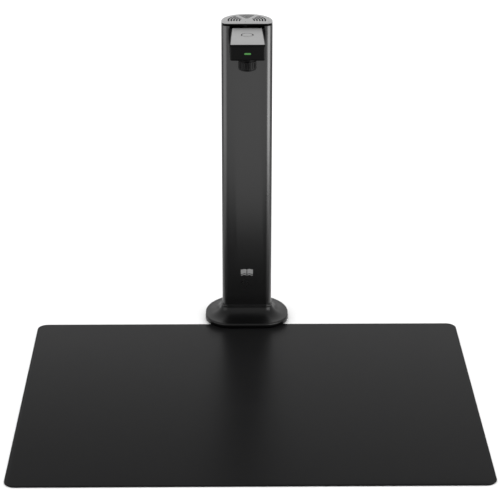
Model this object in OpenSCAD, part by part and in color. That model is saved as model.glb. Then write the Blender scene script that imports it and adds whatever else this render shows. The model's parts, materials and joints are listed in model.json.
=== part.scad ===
// Desk book scanner: a camera head on a column, a weighted foot and a flat scanning mat.
// Origin on the table under the column's axis, front towards -Y, all sizes in mm.

/* [Mat] */
// Width of the mat
mat_w = 470; // [300:1:600]
// Depth of the mat, front to back
mat_d = 368; // [250:1:500]
// Thickness of the mat with its rubber backing
mat_t = 2; // [1.6:0.1:2.6]
// Thickness of the rubber backing alone
mat_back_t = 0.8; // [0.5:0.1:1.2]
// Radius of the mat's corners
mat_corner = 11; // [2:1:40]
// Length of the mat's rear edge that tucks under the foot
mat_tuck = 13; // [6:0.5:16]

/* [Foot] */
// Radius of the foot's round back
foot_r = 46.7; // [42:0.1:70]
// Distance from the column's axis to the foot's flat front
foot_front = 38.5; // [34:0.1:60]
// Radius of the foot's front corners
foot_corner = 29; // [12:0.5:32]
// Height of the underside above the table
foot_lift = 2.6; // [2.5:0.1:5]
// Height of the top of the rim above the table
rim_top = 7.6; // [7:0.1:12]
// Height of the top of the flare above the table
flare_top = 18.4; // [16:0.1:30]
// Wall of the foot's shell
foot_wall = 2.4; // [1.8:0.1:3]

/* [Column] */
// Width of the column, twice its back radius
col_w = 55; // [50:0.5:70]
// Distance from the column's axis to its flat front
col_front = 13; // [11:0.5:18]
// Radius of the column's front corners
col_corner = 7; // [4:0.5:9]
// Wall of the column
col_wall = 2; // [1.5:0.1:3]
// Height of the whole scanner
total_h = 347.6; // [250:0.1:450]
// Thickness of the top cap's plate
cap_t = 2.6; // [2:0.1:5]
// Thickness of the cap's overhanging lip
cap_lip = 1.4; // [0.8:0.1:1.8]
// Depth of the shadow gap under the lip
cap_neck = 1; // [0.5:0.1:1.4]

/* [Head] */
// Length of the head in front of the column
head_l = 63; // [55:0.5:90]
// Width of the head at its front
head_w = 37.2; // [34:0.1:44]
// Width of the head at the column
head_root_w = 33; // [30:0.1:34]
// Height of the head
head_h = 17.6; // [16:0.1:22]
// Gap between the head and the cap above it
head_gap = 2.6; // [2:0.1:5]
// Distance of the hinge pin behind the column's front
pin_set = 10; // [9:0.5:11]
// Diameter of the hinge pin
pin_d = 4; // [3:0.1:5]
// Largest tilt of the head below level, in degrees
head_tilt = 35; // [10:1:36]

/* [Lens] */
// Distance from the head's front to the lens axis
lens_back = 21; // [20:0.5:26]
// Length of the barrel below the head
barrel_l = 15.1; // [12:0.1:18]
// Diameter of the barrel's fixed collar
collar_d = 20.8; // [18:0.1:22]
// Diameter of the focus ring
ring_d = 19.7; // [18:0.1:20.4]
// Number of grip flutes round the focus ring
ring_flutes = 24; // [12:1:36]

/* [Controls] */
// Diameter of the scan button
button_d = 11.4; // [8:0.1:14]
// Distance from the head's front to the button's centre
button_back = 37.6; // [34:0.1:42]
// Travel of the scan button
button_travel = 0.8; // [0.4:0.1:1]
// Width of the status light
status_w = 6.8; // [4:0.1:10]
// Height of the status light
status_h = 1.8; // [1.6:0.1:4]

/* [Grille] */
// Number of rows of slots in the speaker grille
grille_rows = 5; // [3:1:5]
// Radius of the innermost row of slots
grille_r = 8.1; // [6:0.1:9]
// Distance from one row of slots to the next
grille_pitch = 2.95; // [2.6:0.05:3]
// Width of each slot
grille_slot = 1.5; // [1:0.1:1.7]

/* [Hidden] */
$fn = 96;
fit = 0.2;          // assembly gap round pieces that are put in and screwed down
run = 0.08;         // running gap of turning and sliding pieces
eps = 0.01;         // overshoot of a cut past the face that it opens
seg = 36;           // points round a half turn of a lofted outline

// foot
mat_edge = foot_front - mat_tuck;
foot_side = foot_r - col_w / 2;
plate_t = 2;
plate_top = foot_lift + plate_t;
rim_round = 1.8;
collar_w = 1.3;
collar_h = 1.4;
flare_out = foot_side - rim_round;
flare_deep = flare_out - collar_w;
seat_side = 8.5;
seat_top = flare_z(seat_side) - foot_wall;
well_side = 3.6;
well_top = flare_z(well_side) - foot_wall;
screw_d = 3;
screw_head_d = 5.6;
screw_cap = 1.2;
foot_screws = [[-26, -6], [26, -6], [-22, 18], [22, 18]];
foot_pads = [[-foot_r + 12, 13.5 - mat_edge], [foot_r - 12, 13.5 - mat_edge],
    [-foot_r * 0.41, foot_r * 0.67], [foot_r * 0.41, foot_r * 0.67], [0, 0]];
pad_d = 11;

// column
col_r = col_w / 2;
col_foot = seat_top;
cap_under = total_h - cap_t;
spine_y = 10.2;
spine_t = 2;
spine_w = 18;
spine_foot = 5;
plug_top = 25;
board_w = 36;
board_t = 1.6;
board_h = 105;
board_y = 2;
board_z = 45;
spacers = [for (x = [-6, 6]) for (z = [board_z + 7, board_z + board_h - 8]) [x, z]];
spacer_bore = 2.3;
chip_w = 14;
chip_t = 1.2;
chip_z = 92;
fin_t = 2.6;
ribbon_w = 4.6;
port_z = 38;
port_w = 20;
port_h = 9;
port_face = sqrt(pow(col_r, 2) - pow(port_w / 2 + 1.2, 2));

// head and hinge
head_top = cap_under - head_gap;
head_z = head_top - head_h;
pin_z = head_top - head_h / 2;
pin_y = pin_set - col_front;
head_front = -col_front - head_l;
head_rear = pin_y - 3;
knuckle_r = head_h / 2 - 0.5;
knuckle_w = head_root_w - 0.6;
washer_t = 0.5;
lug_in = knuckle_w / 2 + washer_t + 0.3;
lug_t = 2;
lug_out = lug_in + lug_t;
bracket_t = 2;
bracket_screws = [pin_z - 4, pin_z - 16];
slot_half = lug_out - 0.1;
tilt_drop = head_h / 2 * cos(head_tilt) + (head_h / 2 * sin(head_tilt) + pin_set) * tan(head_tilt);
slot_z = pin_z - tilt_drop - 1.6;
tongue = 16;
tongue_screws = [-9, 9];
cover_t = 2.3;
case_top = head_top - cover_t;
case_wall = 1.8;
edge_r = 2;
lid_set = 1.5;      // how far the lid's rear edge lies behind the column's front
lid_rear = lid_set - col_front;

// lens
lens_y = head_front + lens_back;
barrel_z = head_z - barrel_l;
collar_z = head_z - 4;
tube_r = ring_d / 2 - 1.75;
bore_lens = 6.2;
sensor_z = head_z + 5.4;

// controls
button_y = head_front + button_back;
button_ring = 0.9;
button_groove = 0.8;
status_z = pin_z - 1;
light_w = 20;
light_d = 6;
light_y = lens_y + collar_d / 2 + light_d / 2 + 2.4;
head_screw_d = 2;
head_screw_cap = 0.9;
head_screws = [for (y = [head_front + 6, head_rear - tongue - 4.5])
    for (x = [-12.8, 12.8]) [x, y]];

// speaker
grille_y = 1.5;
speaker_y = 16.8;
speaker_l = 25;
speaker_w = 11;

// height of the flare's skin where it stands out by side from the column
function flare_z(side) = flare_top
    - (flare_top - rim_top) * sqrt(1 - pow((flare_out - side) / flare_deep, 2));

// ---- shared shapes ----

// round back, straight sides, flat front with round corners
module d_plan(r, front, corner) {
    intersection() {
        circle(r = r);
        translate([-r, 0]) square([2 * r, r]);
    }
    translate([-r, corner - front]) square([2 * r, front - corner]);
    translate([corner - r, -front]) square([2 * (r - corner), front]);
    for (side = [-1, 1])
        translate([side * (r - corner), corner - front]) circle(r = corner);
}

// the column's hollow, drawn in by inset
module bore_plan(inset) {
    in = col_wall + inset;
    d_plan(col_r - in, col_front - in, max(col_corner - in, 0.5));
}

// the same outline as points, for lofting
function d_points(r, front, corner) = concat(
    [for (i = [0:seg]) let (a = 180 * i / seg) [r * cos(a), r * sin(a)]],
    [for (i = [0:seg / 2]) let (a = 180 + 180 * i / seg)
        [corner - r + corner * cos(a), corner - front + corner * sin(a)]],
    [for (i = [0:seg / 2]) let (a = 270 + 180 * i / seg)
        [r - corner + corner * cos(a), corner - front + corner * sin(a)]]);

// a solid through rings of points at rising heights
module loft(rings) {
    n = len(rings[0]);
    last = len(rings) - 1;
    polyhedron(
        points = [for (ring = rings) for (p = ring) p],
        faces = concat(
            [[for (i = [0:n - 1]) i]],
            [for (k = [0:last - 1]) for (i = [0:n - 1]) let (j = (i + 1) % n)
                [k * n + i, (k + 1) * n + i, (k + 1) * n + j, k * n + j]],
            [[for (i = [n - 1:-1:0]) last * n + i]]));
}

module stadium(length, width) {
    square([length - width, width], center = true);
    for (side = [-1, 1])
        translate([side * (length - width) / 2, 0]) circle(d = width);
}

// a flat-headed screw pointing up, its head's face at z = 0, with a cross recess
module screw_up(length, d = screw_d, head = screw_head_d, cap = screw_cap) {
    difference() {
        union() {
            cylinder(d = head, h = cap);
            translate([0, 0, cap - eps]) cylinder(d = d, h = length - cap);
        }
        for (turn = [0, 90])
            rotate(turn) translate([0, 0, 0.4]) cube([head * 0.6, 0.6, 1], center = true);
    }
}

module mat_plan(inset) {
    r = mat_corner - inset;
    w = mat_w - 2 * inset;
    d = mat_d - 2 * inset;
    translate([0, -mat_edge - mat_d / 2]) {
        square([w, d - 2 * r], center = true);
        square([w - 2 * r, d], center = true);
        for (x = [-1, 1])
            for (y = [-1, 1])
                translate([x * (w / 2 - r), y * (d / 2 - r)]) circle(r = r);
    }
}

// ---- mat ----

module mat_surface() {
    color("#2b2b2c")
        translate([0, 0, mat_back_t]) linear_extrude(mat_t - mat_back_t) mat_plan(0);
}

module mat_backing() {
    color("#1a1a1a") linear_extrude(mat_back_t) mat_plan(0.6);
}

// ---- foot ----

// one ring of the foot's skin: side is how far it stands out from the column
function foot_ring(side, z) = let (s = side / foot_side)
    [for (p = d_points(col_r + side, col_front + s * (foot_front - col_front),
        col_corner + s * (foot_corner - col_corner))) [p[0], p[1], z]];

// the skin runs up the rim, round its edge and along the concave flare
function foot_skin() = concat(
    [foot_ring(foot_side - 0.5, foot_lift), foot_ring(foot_side, foot_lift + 0.5)],
    [for (i = [0:5]) let (a = 18 * i)
        foot_ring(foot_side - rim_round * (1 - cos(a)), rim_top - rim_round * (1 - sin(a)))],
    [for (i = [1:12]) let (a = 7.5 * (12 - i))
        foot_ring(flare_out - flare_deep * cos(a), flare_top - (flare_top - rim_top) * sin(a))]);

// the plan of what stands out by side from the column, inside the skin
module foot_plan(side) {
    s = side / foot_side;
    d_plan(col_r + side, col_front + s * (foot_front - col_front), col_corner + s * (foot_corner - col_corner));
}

module base_shell() {
    color("#1b1b1c") difference() {
        loft(foot_skin());
        translate([0, 0, foot_lift - eps]) linear_extrude(rim_top - foot_lift - foot_wall)
            d_plan(foot_r - foot_wall, foot_front - foot_wall, foot_corner - foot_wall);
        linear_extrude(seat_top) foot_plan(seat_side);
        linear_extrude(well_top) foot_plan(well_side);
        linear_extrude(flare_top + 1) d_plan(col_r + fit / 2, col_front + fit / 2, col_corner + fit / 2);
    }
}

module base_plate() {
    gap = foot_wall + fit;
    color("#2c2c2e") translate([0, 0, foot_lift]) difference() {
        linear_extrude(plate_t) d_plan(foot_r - gap, foot_front - gap, foot_corner - gap);
        for (p = foot_screws) translate([p[0], p[1], -eps]) {
            cylinder(d = screw_d + 2 * fit, h = plate_t + 1);
            cylinder(d = screw_head_d + 2 * fit, h = screw_cap + 2 * eps);
        }
        for (p = foot_pads) translate([p[0], p[1], -eps]) cylinder(d = pad_d + 2 * fit, h = 0.6);
    }
}

module ballast_weight() {
    color("#77797c") difference() {
        union() {
            translate([0, 0, plate_top]) linear_extrude(col_foot - plate_top) foot_plan(seat_side - 1);
            translate([0, 0, plate_top]) linear_extrude(plug_top - plate_top)
                bore_plan(fit);
        }
        for (p = foot_screws)
            translate([p[0], p[1], foot_lift]) cylinder(d = screw_d, h = col_foot);
        translate([-spine_w / 2 - fit / 2, spine_y - fit / 2, plug_top - spine_foot])
            cube([spine_w + fit, spine_t + fit, spine_foot + 1]);
    }
}

module rubber_feet() {
    color("#161616") for (p = foot_pads)
        translate([p[0], p[1], 0]) {
            cylinder(d = pad_d, h = foot_lift + 0.5);
        }
}

module base_screws() {
    color("#9a9ca0") for (p = foot_screws)
        translate([p[0], p[1], foot_lift]) screw_up(col_foot - foot_lift - 0.4, screw_d - run, screw_head_d);
}

module foot_collar() {
    color("#4a4b4d") translate([0, 0, flare_top]) difference() {
        linear_extrude(collar_h) d_plan(col_r + collar_w, col_front + collar_w, col_corner + collar_w);
        translate([0, 0, -1]) linear_extrude(collar_h + 2)
            d_plan(col_r + fit / 2, col_front + fit / 2, col_corner + fit / 2);
    }
}

// ---- column ----

module column_shell() {
    color("#3b3c3e") difference() {
        translate([0, 0, col_foot]) linear_extrude(cap_under - col_foot) difference() {
            d_plan(col_r, col_front, col_corner);
            bore_plan(0);
        }
        translate([-slot_half, -col_front - 1, slot_z])
            cube([2 * slot_half, col_corner + 1, total_h]);
        translate([-port_w / 2 - fit, 10, port_z - port_h / 2 - fit])
            cube([port_w + 2 * fit, col_r, port_h + 2 * fit]);
        translate([-port_w / 2 - 1.2, port_face, port_z - port_h / 2 - 1.2])
            cube([port_w + 2.4, col_r, port_h + 2.4]);
    }
}

module column_spine() {
    low = plug_top - spine_foot;
    color("#8c8f93") difference() {
        translate([-spine_w / 2, spine_y, low]) cube([spine_w, spine_t, pin_z - 1 - low]);
        for (z = bracket_screws)
            translate([0, spine_y - 1, z]) rotate([-90, 0, 0]) cylinder(d = screw_d, h = spine_t + 2);
        for (p = spacers)
            translate([p[0], spine_y - 1, p[1]]) rotate([-90, 0, 0]) cylinder(d = spacer_bore, h = spine_t + 2);
    }
}

module spine_screws() {
    color("#b4b6ba") for (z = bracket_screws)
        translate([0, spine_y + spine_t + screw_cap, z]) rotate([90, 0, 0])
            screw_up(screw_cap + spine_t + bracket_t, screw_d - run, 5.4);
}

module main_board() {
    color("#1f5a3a") difference() {
        translate([-board_w / 2, board_y, board_z]) cube([board_w, board_t, board_h]);
        for (p = spacers)
            translate([p[0], board_y - 1, p[1]]) rotate([-90, 0, 0]) cylinder(d = spacer_bore, h = board_t + 2);
    }
}

module board_spacers() {
    color("#c8a14a") for (p = spacers)
        translate([p[0], board_y + board_t, p[1]]) rotate([-90, 0, 0]) difference() {
            cylinder(d = 4.6, h = spine_y - board_y - board_t);
            translate([0, 0, -1]) cylinder(d = spacer_bore, h = spine_y);
        }
}

module processor() {
    color("#222426") {
        translate([-chip_w / 2, board_y - chip_t, chip_z]) cube([chip_w, chip_t, chip_w]);
        for (x = [-14, 4])
            translate([x, board_y - 1, chip_z - 26]) cube([10, 1, 12]);
    }
}

module heat_spreader() {
    low = chip_z - 4;
    size = chip_w + 4;
    color("#a9acb0") difference() {
        translate([-size / 2, board_y - chip_t - fin_t, low]) cube([size, fin_t, size + 4]);
        for (x = [-6:3:6])
            translate([x - 0.75, board_y - chip_t - fin_t - 1, low - 1]) cube([1.5, fin_t, size + 6]);
    }
}

module signal_ribbon() {
    color("#d8d3c4") translate([-ribbon_w / 2, board_y + board_t, board_z + board_h - 10])
        cube([ribbon_w, 0.3, slot_z - 6 - (board_z + board_h - 10)]);
}

module port_board() {
    color("#1f5a3a") translate([-13, spine_y + spine_t, port_z - 12])
        cube([26, 1.6, 22]);
}

module usb_socket() {
    y0 = spine_y + spine_t + 1.6;
    color("#b9bbbf") translate([0, y0, port_z]) rotate([-90, 0, 0]) difference() {
        linear_extrude(port_face - 1.6 - y0 + 1.2) stadium(9.2, 3.4);
        translate([0, 0, 2]) linear_extrude(col_r) difference() {
            stadium(8.6, 2.8);
            square([6.6, 0.8], center = true);
        }
    }
}

module port_bezel() {
    color("#18181a") translate([0, port_face, port_z]) rotate([90, 0, 0]) difference() {
        linear_extrude(1.6) square([port_w, port_h], center = true);
        translate([0, 0, -1]) linear_extrude(4) stadium(9.2 + 2 * fit, 3.4 + 2 * fit);
    }
}

// ---- top of the column ----

// one slot of the grille: a ring's piece between two angles
module arc_slot(r, from, to) {
    intersection() {
        difference() {
            circle(r = r + grille_slot / 2);
            circle(r = r - grille_slot / 2);
        }
        polygon([[0, 0], for (i = [0:4]) let (a = from + (to - from) * i / 4) 40 * [cos(a), sin(a)]]);
    }
}

module grille_slots() {
    for (row = [0:grille_rows - 1]) let (r = grille_r + grille_pitch * row, lean = 130 / r) {
        arc_slot(r, -6 - lean, 60 - lean);
        arc_slot(r, 60 + lean, 120 - lean);
        arc_slot(r, 120 + lean, 186 + lean);
    }
}

module top_cap() {
    color("#9a9b9d") difference() {
        union() {
            translate([0, 0, total_h - cap_lip]) linear_extrude(cap_lip) d_plan(col_r, col_front, col_corner);
            translate([0, 0, cap_under]) linear_extrude(cap_t - eps) bore_plan(cap_neck - col_wall);
            translate([0, 0, cap_under - 3]) linear_extrude(3 + eps) difference() {
                bore_plan(fit);
                bore_plan(fit + 1.2);
                translate([-slot_half - 0.8, -col_front]) square([2 * slot_half + 1.6, col_front + 6]);
            }
        }
        translate([0, grille_y, cap_under - 1]) linear_extrude(cap_t + 2) grille_slots();
        translate([-1.5, -5.6, cap_under - 1]) cylinder(d = 1.2, h = cap_t + 2);
    }
}

module grille_mesh() {
    color("#262626") translate([0, 0, cap_under - 0.5]) linear_extrude(0.5) difference() {
        translate([0, grille_y]) circle(r = grille_r + grille_pitch * (grille_rows - 1) + 1.6);
        translate([-col_r, -col_r - 3.4]) square([col_w, col_r]);
    }
}

module speaker_frame() {
    color("#2e2f31") translate([0, speaker_y, cap_under - 9]) difference() {
        linear_extrude(7.5) stadium(speaker_l, speaker_w);
        translate([0, 0, 3]) linear_extrude(6) stadium(speaker_l - 2.4, speaker_w - 2.4);
        translate([0, 0, -1]) cylinder(d = 7.4, h = 6);
    }
}

module speaker_cone() {
    color("#3c3d3f") translate([0, speaker_y, cap_under - 3.4]) difference() {
        linear_extrude(1) stadium(speaker_l - 2.8, speaker_w - 2.8);
        translate([0, 0, 0.4]) linear_extrude(1) stadium(speaker_l - 8, speaker_w - 6);
    }
}

module speaker_magnet() {
    color("#8c8f93") translate([0, speaker_y, cap_under - 12]) cylinder(d = 7, h = 8);
}

module microphone() {
    color("#222426") translate([-1.5, -5.6, cap_under - 1.6]) difference() {
        cylinder(d = 4, h = 1.6);
        translate([0, 0, 0.8]) cylinder(d = 1, h = 1);
    }
}

// ---- hinge, the part in the column ----

module hinge_bracket() {
    back = spine_y - bracket_t;
    low = pin_z - 20;
    color("#2c2c2e") difference() {
        union() {
            translate([-lug_out, back, low]) cube([2 * lug_out, bracket_t, pin_z + head_h / 2 - low]);
            for (side = [-1, 1])
                translate([side * (lug_in + lug_t / 2), (back + 1 + pin_y - 5) / 2, pin_z])
                    cube([lug_t, back + 1 - pin_y + 5, head_h - 2], center = true);
        }
        translate([-30, pin_y, pin_z]) rotate([0, 90, 0]) cylinder(d = pin_d, h = 60);
        for (z = bracket_screws)
            translate([0, back - 1, z]) rotate([-90, 0, 0]) cylinder(d = screw_d, h = bracket_t + 2);
    }
}

module hinge_pin() {
    color("#c3c5c9") translate([-lug_out - 1.6, pin_y, pin_z]) rotate([0, 90, 0])
        cylinder(d = pin_d, h = 2 * lug_out + 3.2);
}

module friction_washers() {
    color("#d7d7d2") for (side = [-1, 1])
        translate([side * (lug_in - washer_t / 2), pin_y, pin_z]) rotate([0, 90, 0]) difference() {
            cylinder(d = 11, h = washer_t, center = true);
            cylinder(d = pin_d + 2 * run, h = 2, center = true);
        }
}

module pin_clips() {
    color("#b4b6ba") for (side = [-1, 1])
        translate([side * (lug_out + 0.4), pin_y, pin_z]) rotate([0, 90, 0]) difference() {
            cylinder(d = pin_d + 4, h = 0.8, center = true);
            cylinder(d = pin_d, h = 2, center = true);
            translate([0, pin_d, 0]) cube([pin_d * 0.6, 2 * pin_d, 2], center = true);
        }
}

// ---- head ----

// the head's plan, drawn in by inset on its front and sides
module head_plan(inset, rear) {
    hull() {
        for (side = [-1, 1])
            translate([side * (head_w / 2 - edge_r), head_front + edge_r])
                circle(r = edge_r - inset, $fn = 32);
        translate([inset - head_root_w / 2, rear - 1]) square([head_root_w - 2 * inset, 1]);
    }
}

module head_case() {
    color("#1a1a1b") difference() {
        hull() {
            for (side = [-1, 1])
                translate([side * (head_w / 2 - edge_r), head_front + edge_r, head_z + edge_r]) {
                    cylinder(r = edge_r, h = case_top - head_z - edge_r, $fn = 32);
                    sphere(r = edge_r, $fn = 32);
                }
            for (side = [-1, 1])
                translate([side * (head_root_w / 2 - edge_r), head_rear - 1, head_z + edge_r])
                    rotate([-90, 0, 0]) cylinder(r = edge_r, h = 1, $fn = 32);
            translate([-head_root_w / 2, head_rear - 1, case_top - 1]) cube([head_root_w, 1, 1]);
        }
        translate([0, 0, head_z + case_wall]) linear_extrude(head_h) head_plan(case_wall, head_rear - 6);
        translate([0, head_rear - 8, pin_z - 1]) cube([knuckle_w - 5, 20, head_h - 2 * case_wall - 2 + eps], center = true);
        translate([0, lens_y, head_z - 1]) cylinder(d = collar_d + fit, h = case_wall + 2);
        translate([0, light_y, head_z + case_wall / 2]) linear_extrude(case_wall + 2, center = true)
            square([light_w + fit, light_d + fit], center = true);
        translate([0, head_front - 1, status_z]) rotate([-90, 0, 0])
            linear_extrude(case_wall + 2) stadium(status_w + fit, status_h + fit);
        for (p = head_screws) translate([p[0], p[1], head_z - 1]) {
            cylinder(d = head_screw_d + fit, h = case_wall + 2);
            cylinder(d = 3.8, h = 1 + head_screw_cap + 0.1);
        }
        translate([-30, pin_y, pin_z]) rotate([0, 90, 0]) cylinder(r = knuckle_r + 0.3, h = 60);
    }
}

module head_cover() {
    color("#9a9b9d") difference() {
        union() {
            translate([0, 0, case_top]) linear_extrude(cover_t - 0.7) head_plan(0, lid_rear);
            translate([0, 0, case_top]) linear_extrude(cover_t) head_plan(0.6, lid_rear);
            for (p = head_screws)
                translate([p[0], p[1], head_z + case_wall + fit])
                    cylinder(d = 4.4, h = case_top - head_z - case_wall);
        }
        translate([0, button_y, case_top - 1]) cylinder(d = button_d + 2 * run, h = cover_t + 2);
        translate([0, button_y, head_top - button_groove])
            cylinder(d = button_d + 2 * button_ring, h = button_groove + 1);
        for (p = head_screws)
            translate([p[0], p[1], head_z + case_wall - 1]) cylinder(d = head_screw_d, h = 8);
        translate([-30, pin_y, pin_z]) rotate([0, 90, 0]) cylinder(r = knuckle_r + 0.3, h = 60);
    }
}

module hinge_knuckle() {
    color("#37383a") difference() {
        union() {
            translate([-knuckle_w / 2, pin_y, pin_z]) rotate([0, 90, 0]) cylinder(r = knuckle_r, h = knuckle_w);
            translate([-knuckle_w / 2 + 3, head_rear - tongue, pin_z - 4]) cube([knuckle_w - 6, tongue + 3, 7]);
        }
        translate([-30, pin_y, pin_z]) rotate([0, 90, 0]) cylinder(d = pin_d + 2 * run, h = 60);
        translate([-6, head_rear - tongue - 1, pin_z - 1.5]) cube([12, tongue - 3, 6]);
        for (x = tongue_screws)
            translate([x, head_rear - tongue + 6, pin_z - 5]) cylinder(d = head_screw_d + fit, h = 10);
    }
}

module knuckle_screws() {
    color("#b4b6ba") for (x = tongue_screws)
        translate([x, head_rear - tongue + 6, pin_z + 3 + head_screw_cap]) rotate([180, 0, 0])
            screw_up(7, head_screw_d, 4, head_screw_cap);
}

module head_screws_set() {
    color("#2c2c2e") for (p = head_screws)
        translate([p[0], p[1], head_z + 0.1]) screw_up(8, head_screw_d - run, 3.4, head_screw_cap);
}

module scan_button() {
    color("#a2a3a5") translate([0, button_y, 0]) difference() {
        union() {
            translate([0, 0, case_top - 0.6]) cylinder(d = button_d, h = cover_t + 0.8);
            translate([0, 0, case_top - 1.4]) cylinder(d = button_d + 2.4, h = 0.9);
        }
        translate([0, 0, head_top + 60 - 0.05]) sphere(r = 60, $fn = 96);
    }
}

module dome_switch() {
    color("#c9cbce") translate([0, button_y, case_top - 3.6 - button_travel]) {
        cylinder(d1 = 7, d2 = 4, h = 1.2);
        translate([0, 0, 1.1]) cylinder(d = 2.4, h = 0.7);
    }
}

module switch_board() {
    color("#1f5a3a") translate([-8, button_y - 7, case_top - 4.8 - button_travel]) cube([16, 14, 1.2]);
}

module status_lens() {
    color("#55b04a") translate([0, head_front - 0.1, status_z]) rotate([-90, 0, 0])
        linear_extrude(case_wall + 1.4) stadium(status_w, status_h);
}

module status_led() {
    color("#1f5a3a") translate([0, head_front + case_wall + 1.6, status_z]) {
        translate([-6, 0.8, -3]) cube([12, 1, 6]);
        translate([-1.6, 0, -0.8]) cube([3.2, 0.9, 1.6]);
    }
}

// ---- lens ----

module lens_barrel() {
    color("#1d1d1f") translate([0, lens_y, 0]) difference() {
        union() {
            translate([0, 0, collar_z]) cylinder(d = collar_d, h = head_z - collar_z + case_wall + 1);
            translate([0, 0, barrel_z + 0.8]) cylinder(r = tube_r, h = collar_z - barrel_z);
        }
        translate([0, 0, barrel_z - 1]) cylinder(r = bore_lens, h = barrel_l + 12);
        translate([0, 0, barrel_z]) cylinder(r1 = tube_r - 0.5, r2 = bore_lens, h = 1.9);
    }
}

// a thin convex glass disc, flat side up
module glass_disc(r, edge, crown) {
    sag_r = (r * r + crown * crown) / (2 * crown);
    intersection() {
        cylinder(r = r, h = edge + crown);
        translate([0, 0, sag_r]) sphere(r = sag_r, $fn = 96);
    }
}

module front_lens() {
    color("#6f8fa8") translate([0, lens_y, barrel_z + 3.2]) glass_disc(bore_lens - run, 1, 1.2);
}

module rear_lens() {
    color("#6f8fa8") translate([0, lens_y, collar_z + 1]) glass_disc(bore_lens - run, 1, 1);
}

module lens_retainer() {
    color("#303133") translate([0, lens_y, barrel_z + 2]) difference() {
        cylinder(r = bore_lens - run, h = 1);
        translate([0, 0, -1]) cylinder(r1 = bore_lens - 0.8, r2 = bore_lens - 1.6, h = 3);
    }
}

module focus_ring() {
    depth = barrel_l - 4 - 0.3;
    color("#202022") translate([0, lens_y, barrel_z]) difference() {
        union() {
            cylinder(d1 = ring_d - 3, d2 = ring_d, h = 1.5);
            translate([0, 0, 1.5]) cylinder(d = ring_d, h = depth - 1.5);
        }
        translate([0, 0, -1]) cylinder(r = tube_r + run, h = depth + 2);
        for (i = [0:ring_flutes - 1])
            rotate(360 * i / ring_flutes) translate([ring_d / 2 + 0.25, 0, 2])
                cylinder(d = 1.3, h = depth - 3.6, $fn = 24);
    }
}

module image_sensor() {
    color("#2a2c44") translate([0, lens_y, sensor_z - 0.7]) cube([8.6, 7, 1.4], center = true);
}

module sensor_board() {
    color("#1f5a3a") translate([0, lens_y, sensor_z + 0.6]) cube([24, 22, 1.2], center = true);
}

module light_board() {
    color("#e8e8e4") {
        translate([-light_w / 2, light_y - light_d / 2, head_z + 3.4]) cube([light_w, light_d, 0.8]);
        for (x = [-6, 0, 6])
            translate([x - 1.4, light_y - 1.4, head_z + 2.6]) cube([2.8, 2.8, 0.8]);
    }
}

module light_diffuser() {
    color("#f1f1ec") translate([0, light_y, head_z + 1]) cube([light_w, light_d, 1.9], center = true);
}

mat_surface();
mat_backing();
base_shell();
base_plate();
ballast_weight();
rubber_feet();
base_screws();
foot_collar();
column_shell();
column_spine();
spine_screws();
main_board();
board_spacers();
processor();
heat_spreader();
signal_ribbon();
port_board();
usb_socket();
port_bezel();
top_cap();
grille_mesh();
speaker_frame();
speaker_cone();
speaker_magnet();
microphone();
hinge_bracket();
hinge_pin();
friction_washers();
pin_clips();
head_case();
head_cover();
hinge_knuckle();
knuckle_screws();
head_screws_set();
scan_button();
dome_switch();
switch_board();
status_lens();
status_led();
lens_barrel();
rear_lens();
front_lens();
lens_retainer();
image_sensor();
sensor_board();
light_board();
light_diffuser();
focus_ring();
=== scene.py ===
import json
import math

import bmesh
import bpy
from mathutils import Matrix, Vector


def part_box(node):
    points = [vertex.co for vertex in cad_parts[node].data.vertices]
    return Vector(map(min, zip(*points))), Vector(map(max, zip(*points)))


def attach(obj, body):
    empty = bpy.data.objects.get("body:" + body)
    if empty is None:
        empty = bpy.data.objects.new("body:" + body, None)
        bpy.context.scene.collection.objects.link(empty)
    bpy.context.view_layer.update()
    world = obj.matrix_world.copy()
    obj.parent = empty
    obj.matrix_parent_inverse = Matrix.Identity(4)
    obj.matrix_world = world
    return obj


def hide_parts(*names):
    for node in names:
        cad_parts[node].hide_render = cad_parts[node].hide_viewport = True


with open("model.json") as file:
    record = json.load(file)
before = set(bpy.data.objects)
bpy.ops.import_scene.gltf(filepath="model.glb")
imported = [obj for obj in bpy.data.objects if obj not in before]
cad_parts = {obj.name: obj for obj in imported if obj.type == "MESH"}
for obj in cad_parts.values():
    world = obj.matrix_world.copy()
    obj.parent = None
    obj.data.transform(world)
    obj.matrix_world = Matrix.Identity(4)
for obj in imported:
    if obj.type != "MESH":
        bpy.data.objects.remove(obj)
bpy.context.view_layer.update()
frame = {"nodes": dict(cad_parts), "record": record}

mm = 0.001
slotOf = {row["node"]: row["material_slot"] for row in frame["record"]["subparts"]}
bodyOf = {node: body for body, nodes in frame["record"]["behaviour"]["bodies"].items() for node in nodes}


def low(node):
    return Vector(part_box(node)[0])


def high(node):
    return Vector(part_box(node)[1])


def middle(node):
    return (low(node) + high(node)) / 2


view = {
    "lens": 134.79,         # focal length on a 36 mm sensor
    "pitch": 22.279,        # degrees below level
    "yaw": 0.667,           # degrees turned to the right
    "roll": -0.067,
    "sideways": -20.0 * mm,     # from the column's axis
    "inFront": 1950.7 * mm,
    "above": 533.3 * mm,        # over the top of the column
}


def makeCamera():
    data = bpy.data.cameras.new("camera")
    data.sensor_width = 36
    data.lens = view["lens"]
    data.clip_end = 50
    camera = bpy.data.objects.new("camera", data)
    bpy.context.scene.collection.objects.link(camera)
    camera.location = (view["sideways"], -view["inFront"], high("top_cap").z + view["above"])
    camera.rotation_euler = (math.radians(90 - view["pitch"]), math.radians(view["roll"]),
                             math.radians(-view["yaw"]))
    bpy.context.scene.camera = camera


makeCamera()
print("camera placed")


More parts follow.
